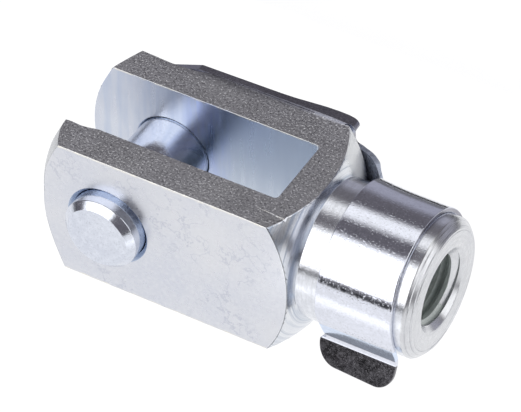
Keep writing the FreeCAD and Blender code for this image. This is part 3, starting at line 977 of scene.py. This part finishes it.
def slot_zinc():
    """The slot's walls: streaks down the cut, and painted shade that is bluer and duller towards its floor."""
    mat, nt, sh = nodes_of("zinc_slot")
    sh.inputs["Metallic"].default_value = 1.0
    c0 = noise(nt, coords(nt), 110.0, 2.0, 0.5)
    c1 = noise(nt, coords(nt, (1, 1, 0.10)), 900.0, 3.0, 0.6)
    tc = nt.nodes.new("ShaderNodeTexCoord")
    sep = nt.nodes.new("ShaderNodeSeparateXYZ")
    nt.links.new(tc.outputs["Object"], sep.inputs[0])
    # painted shade: bluer deeper in the slot, for the light bounced between its walls
    deep = step(nt, sep.outputs[0], 0.0015, 0.0050)
    pale = ramp(nt, c0, [(0.35, (0.55, 0.58, 0.66)), (0.68, (0.62, 0.65, 0.72))])
    blue = ramp(nt, c0, [(0.35, (0.54, 0.595, 0.685)), (0.68, (0.58, 0.635, 0.72))])
    base = mix(nt, pale, blue, deep)
    streak = span(nt, c1, 0.0, 0.5, 0.42, 0.72)
    near_pin = between(nt, sep.outputs[0], -0.011, 0.0085, 0.002)
    streak = math_node(nt, "MULTIPLY", streak, step(nt, near_pin, 0.5, 0.5, 0.25, 1.0))
    base = mix(nt, base, (0.43, 0.51, 0.67), streak)
    # painted shade: a strong blue patch on the walls' upper part, part way into the slot
    painted_blue_shade = math_node(nt, "MULTIPLY", between(nt, sep.outputs[0], 0.0022, 0.0078, 0.0016), step(nt, sep.outputs[2], -0.002, 0.006))
    shade_wobble = span(nt, noise(nt, coords(nt, (1, 1, 0.16)), 620.0, 3.0, 0.6), 0.25, 1.0, 0.42, 0.62)
    base = mix(nt, base, (0.50, 0.58, 0.84), math_node(nt, "MULTIPLY", painted_blue_shade, shade_wobble))
    # the wall's top edge is worn bare
    rim = math_node(nt, "ADD", math_node(nt, "ABSOLUTE", sep.outputs[2]), math_node(nt, "MULTIPLY", noise(nt, coords(nt), 900.0, 3.0), 0.0004))
    patchy = span(nt, noise(nt, coords(nt), 700.0, 2.0), 0.15, 0.9, 0.40, 0.60)
    base = mix(nt, base, (0.78, 0.76, 0.71), math_node(nt, "MULTIPLY", step(nt, rim, 0.01002, 0.00008), patchy))
    nt.links.new(base, sh.inputs["Base Color"])
    nt.links.new(span(nt, c1, 0.24, 0.36, 0.3, 0.7), sh.inputs["Roughness"])
    nt.links.new(bump(nt, streak, 4.0e-6), sh.inputs["Normal"])
    return mat


M = {
    "side": side_zinc(),
    "top": top_zinc(),
    "slot": slot_zinc(),
    "turned": zinc(
        "zinc_turned", (0.66, 0.68, 0.73), (0.75, 0.765, 0.81), 0.24, ring=5.0e-6, ring_scale=2100.0, fleck=5.0e-6, fleck_scale=3900.0, fleck_dark=0.16, aniso=0.6, grain_h=1.0e-6
    ),
    # painted shade: the crown is a darker copy of the turned zinc
    "tip": zinc(
        "zinc_tip", (0.46, 0.47, 0.50), (0.56, 0.575, 0.60), 0.26, ring=5.0e-6, ring_scale=1900.0, fleck=5.0e-6, fleck_scale=3600.0, fleck_dark=0.3, aniso=0.5, grain_h=1.5e-6
    ),
    "end": zinc(
        "zinc_end", (0.58, 0.59, 0.62), (0.66, 0.67, 0.69), 0.27, ring=4.0e-6, ring_scale=3000.0, aniso=0.5, grain_h=1.5e-6
    ),
    "bore": zinc("zinc_bore", (0.50, 0.57, 0.69), (0.60, 0.66, 0.76), 0.24, grain=1100.0, grain_h=1.0e-6),
    "shoulder": shoulder_zinc(),
    "thread": zinc("zinc_thread", (0.42, 0.47, 0.46), (0.56, 0.60, 0.58), 0.36, grain_h=4.0e-6, fleck=4.0e-6, metal=0.4),
}


def put(ob, names, pick):
    ob.data.materials.clear()
    for n in names:
        ob.data.materials.append(n if not isinstance(n, str) else M[n])
    idx = np.zeros(len(ob.data.polygons), np.int32)
    for k, f in enumerate(ob.data.polygons):
        idx[k] = pick(f.center / MM, f.normal)
    ob.data.polygons.foreach_set("material_index", idx)
    ob.data.update()


FORK = ["side", "top", "slot", "turned", "bore", "thread", "end", "shoulder", "tip"]


def fork_face(c, n):
    r = math.hypot(c.y, c.z)
    if abs(n.z) > 0.9 and abs(c.z) > 9.7:
        return 1
    if 20.45 < c.x < 38.8 and r < 5.06:
        return 5
    if c.x > 38.7:
        return 6
    if 21.0 < c.x < 25.2 and n.x > 0.3 and r > 8.87:
        return 7
    if c.x > 21.0 and (abs(n.x) > 0.08 or c.x > 24.4) and max(abs(n.y), abs(n.z)) < 0.9999:
        return 3
    if c.x > 24.4:
        return 3
    if math.hypot(c.x, c.z) < 5.7 and 5.2 < abs(c.y) < 10.01 and abs(n.y) < 0.985:
        return 4
    if abs(c.y) < 5.3 and c.x < 20.6:
        return 2
    # the crown, in its darker copy of the turned zinc as painted shade
    if c.x < -5.5 and abs(n.x) > 0.2:
        return 8
    if abs(n.z) > 0.75:
        return 1
    return 0


put(fork, FORK, fork_face)

pin_mat = zinc("zinc_pin", (0.60, 0.63, 0.71), (0.66, 0.69, 0.76), 0.17, fleck=3.0e-6)
put(pin, [pin_mat], lambda c, n: 0)
clip_mat = zinc(
    "zinc_clip", (0.66, 0.68, 0.75), (0.70, 0.72, 0.80), 0.10, rough_var=0.03, grain_h=5.0e-7,
    fleck=6.5e-6, fleck_scale=3900.0, fleck_dark=0.22
)
# dark: the plate's sheared edges, and painted shade at the band's right edge and in the gap between the plate and the
# ear
rim_mat = zinc("zinc_clip_rim", (0.26, 0.26, 0.30), (0.38, 0.38, 0.43), 0.22, grain=3200.0, grain_h=1.0e-5)
# nearly black: a painted dark reflection on the clip's lip
lip_mat = zinc(
    "zinc_clip_lip", (0.085, 0.082, 0.09), (0.13, 0.126, 0.14), 0.16, rough_var=0.05, grain_h=8.0e-7,
    fleck=3.4e-6, fleck_scale=4200.0, fleck_dark=0.3
)
# painted shade on the waist's inner side, which the ear and the neck keep from the light
waist_mat = zinc(
    "zinc_clip_waist", (0.30, 0.33, 0.41), (0.42, 0.46, 0.56), 0.28, cloud=420.0, grain_h=3.0e-6, metal=0.5
)
# bluer: a painted reflection of the bluish shade on the floor under the band
run_mat = zinc("zinc_clip_run", (0.57, 0.64, 0.78), (0.65, 0.73, 0.87), 0.10, rough_var=0.03, grain_h=6.0e-7)
for m in (clip_mat, rim_mat, lip_mat, waist_mat, run_mat):
    clip.data.materials.append(m)
clip.data.polygons.foreach_set("material_index", clip_parts)
clip.data.update()

# ------------------------------------------------------------- floor and lights
# A pale sheet, and under it the light table that the steel mirrors, which fades out round the object.
FLOOR_Z = -0.0101
bm = bmesh.new()
bmesh.ops.create_grid(bm, x_segments=1, y_segments=1, size=2.9)
bmesh.ops.translate(bm, verts=bm.verts, vec=(0, 0, FLOOR_Z))
floor = new_object("floor", bm)
mat, nt, sh = nodes_of("floor_paper")
sh.inputs["Roughness"].default_value = 0.8
sh.inputs["Specular IOR Level"].default_value = 0.15
cloud = noise(nt, coords(nt), 30.0, 3.0)
nt.links.new(ramp(nt, cloud, [(0.3, (0.99, 0.99, 0.995)), (0.7, (1.0, 1.0, 1.0))]), sh.inputs["Emission Color"])
sh.inputs["Emission Strength"].default_value = 0.95
nt.links.new(ramp(nt, cloud, [(0.3, (0.135, 0.135, 0.135)), (0.7, (0.145, 0.145, 0.145))]), sh.inputs["Base Color"])
floor.data.materials.append(mat)
floor.visible_glossy = False
floor.visible_diffuse = False

# a pale paper backdrop far off, which only the camera sees
bm = bmesh.new()
bmesh.ops.create_uvsphere(bm, u_segments=48, v_segments=24, radius=3.0)
for f in bm.faces:
    f.smooth = True
backdrop = new_object("backdrop", bm)
mat, nt, sh = nodes_of("backdrop_paper")
sh.inputs["Base Color"].default_value = (0.05, 0.05, 0.05, 1)
sh.inputs["Roughness"].default_value = 1.0
nt.links.new(ramp(nt, noise(nt, coords(nt), 1.5, 2.0), [(0.3, (0.97, 0.97, 0.975)), (0.7, (1.0, 1.0, 1.0))]), sh.inputs["Emission Color"])
sh.inputs["Emission Strength"].default_value = 1.0
backdrop.data.materials.append(mat)
backdrop.visible_glossy = False
backdrop.visible_diffuse = False
backdrop.visible_shadow = False

bm = bmesh.new()
bmesh.ops.create_grid(bm, x_segments=1, y_segments=1, size=2.0)
bmesh.ops.translate(bm, verts=bm.verts, vec=(0, 0, FLOOR_Z - 0.0001))
table = new_object("light_table", bm)
table.visible_camera = False
table.visible_shadow = False
mat, nt, sh = nodes_of("light_table_glass")
sh.inputs["Roughness"].default_value = 0.8
sh.inputs["Specular IOR Level"].default_value = 0.15
tc = nt.nodes.new("ShaderNodeTexCoord")
sep = nt.nodes.new("ShaderNodeSeparateXYZ")
nt.links.new(tc.outputs["Object"], sep.inputs[0])
qx = math_node(nt, "ABSOLUTE", math_node(nt, "DIVIDE", math_node(nt, "SUBTRACT", sep.outputs[0], 0.026), 0.096))
qy = math_node(nt, "ABSOLUTE", math_node(nt, "DIVIDE", math_node(nt, "SUBTRACT", sep.outputs[1], -0.0165), 0.0925))
q = math_node(nt, "POWER", math_node(nt, "ADD", math_node(nt, "POWER", qx, 4.0), math_node(nt, "POWER", qy, 4.0)), 0.25)
v = coords(nt)
cloud = noise(nt, v, 30.0, 3.0)
pale = ramp(nt, cloud, [(0.3, (0.99, 0.99, 0.995)), (0.7, (1.0, 1.0, 1.0))])
dark = ramp(nt, cloud, [(0.3, (0.10, 0.10, 0.115)), (0.7, (0.13, 0.13, 0.14))])
fade = step(nt, q, 1.03, 0.08)
tone = mix(nt, pale, dark, fade)
# the table's tube shows through the sheet in front of the neck
tube = math_node(nt, "MULTIPLY", between(nt, sep.outputs[1], -0.0315, -0.0215, 0.004), between(nt, sep.outputs[0], 0.016, 0.046, 0.003))
tone = mix(nt, tone, (1.42, 1.42, 1.42), tube)
nt.links.new(tone, sh.inputs["Emission Color"])
sh.inputs["Emission Strength"].default_value = 0.985
nt.links.new(mix(nt, (0.14, 0.14, 0.14), (0.10, 0.10, 0.10), fade), sh.inputs["Base Color"])
table.data.materials.append(mat)



def flag(name, y, top, x0=-0.4, x1=0.4):
    """A low black card on the floor that only the steel sees."""
    bm = bmesh.new()
    vs = [bm.verts.new(p) for p in ((x0, y, FLOOR_Z), (x1, y, FLOOR_Z), (x1, y, top), (x0, y, top))]
    bm.faces.new(vs)
    o = new_object(name, bm)
    mat, nt, sh = nodes_of(name + "_cloth")
    n = noise(nt, coords(nt), 400.0, 2.0)
    nt.links.new(ramp(nt, n, [(0.3, (0.045, 0.045, 0.05)), (0.7, (0.06, 0.06, 0.065))]), sh.inputs["Base Color"])
    sh.inputs["Roughness"].default_value = 1.0
    sh.inputs["Specular IOR Level"].default_value = 0.0
    o.data.materials.append(mat)
    o.visible_camera = False
    return o


flag("front_flag", -0.109, 0.0015)
flag("rear_flag", 0.045, -0.0022, x1=0.027)

# The studio: a dim room with a big soft light in front, one overhead, one at the neck's end
# and a grey screen behind. pitch turns about X from the front horizon over the top, and
# heading turns about Z from the front towards +X.
world = bpy.data.worlds.new("studio")
scene.world = world
world.use_nodes = True
wt = world.node_tree
wt.nodes.clear()
out = wt.nodes.new("ShaderNodeOutputWorld")
bg = wt.nodes.new("ShaderNodeBackground")
wt.links.new(bg.outputs[0], out.inputs[0])
tc = wt.nodes.new("ShaderNodeTexCoord")
sep = wt.nodes.new("ShaderNodeSeparateXYZ")
wt.links.new(tc.outputs["Generated"], sep.inputs[0])
dx, dy, dz = sep.outputs
deg = 180.0 / math.pi
fy = math_node(wt, "MULTIPLY", dy, -1.0)
pitch = math_node(wt, "MULTIPLY", math_node(wt, "ARCTAN2", dz, fy), deg)
heading = math_node(wt, "MULTIPLY", math_node(wt, "ARCTAN2", dx, fy), deg)
rise = math_node(wt, "MULTIPLY", math_node(wt, "ARCSINE", dz), deg)

room = (0.135, 0.127, 0.142)
tone = ramp(wt, noise(wt, tc.outputs["Generated"], 2.0, 1.0), [(0.3, room), (0.7, tuple(c * 1.25 for c in room))])


def light_patch(tone, mask, colour):
    return mix(wt, tone, colour, mask)


front_band = math_node(wt, "MULTIPLY", step(wt, pitch, 3.8, 1.8), step(wt, pitch, 67.0, 8.0, 1.0, 0.0))
front = math_node(wt, "MULTIPLY", front_band, between(wt, heading, -60.0, 17.0, 4.0))
above = math_node(wt, "MULTIPLY", between(wt, pitch, 96.0, 119.0, 7.0), between(wt, dx, -0.85, 0.8, 0.08))
side = math_node(wt, "MULTIPLY", between(wt, heading, 62.0, 120.0, 5.0), between(wt, rise, 5.0, 45.0, 3.0))
back = math_node(
    wt, "MULTIPLY", step(wt, math_node(wt, "ABSOLUTE", heading), 128.0, 7.0), step(wt, rise, 24.0, 9.0, 1.0, 0.0)
)
tone = light_patch(tone, back, (0.42, 0.42, 0.49))
tone = light_patch(tone, above, (1.22, 1.22, 1.22))
tone = light_patch(tone, side, (1.5, 1.5, 1.5))
tone = light_patch(tone, front, (2.0, 2.0, 2.0))
wt.links.new(tone, bg.inputs[0])


def softbox(name, centre, aim, size_x, size_y, power, color=(1, 1, 1)):
    """An area light for the floor's soft shade. The steel mirrors the studio, not this lamp."""
    d = bpy.data.lights.new(name, "AREA")
    d.shape = "RECTANGLE"
    d.size, d.size_y = size_x, size_y
    d.energy = power * size_x * size_y * math.pi
    d.color = color
    o = bpy.data.objects.new(name, d)
    scene.collection.objects.link(o)
    z = (Vector(centre) - Vector(aim)).normalized()
    x = Vector((1, 0, 0))
    y = z.cross(x).normalized()
    x = y.cross(z).normalized()
    o.matrix_world = Matrix.Translation(centre) @ Matrix((x, y, z)).transposed().to_4x4()
    o.visible_camera = False
    o.visible_glossy = False
    return o


softbox("key", (-0.25, -0.55, 0.45), (0.015, 0, 0), 0.6, 0.5, 1.0)

# ------------------------------------------------------------------------ camera
cam_data = bpy.data.cameras.new("camera")
cam_data.sensor_width, cam_data.sensor_fit = 36.0, "HORIZONTAL"
cam_data.lens = 3692.12 * 36.0 / 521.0
cam_data.clip_start, cam_data.clip_end = 0.02, 20.0
cam = bpy.data.objects.new("camera", cam_data)
scene.collection.objects.link(cam)
forward = Vector((-0.36591562, 0.628164, -0.68667005))
right = Vector((0.86671131, 0.49877893, -0.00557508))
down = Vector((0.33899449, -0.59718471, -0.72694784))
rot = Matrix((right, -down, -forward)).transposed().to_4x4()
cam.matrix_world = Matrix.Translation(Vector((175.986, -275.839, 303.673)) * MM) @ rot
scene.camera = cam

# light goes on between the walls of the slot, the thread and the clip's waist
if hasattr(scene, "cycles"):
    scene.cycles.glossy_bounces = 10
scene.view_settings.view_transform = "Standard"
scene.view_settings.look = "None"
scene.view_settings.exposure = 0.0
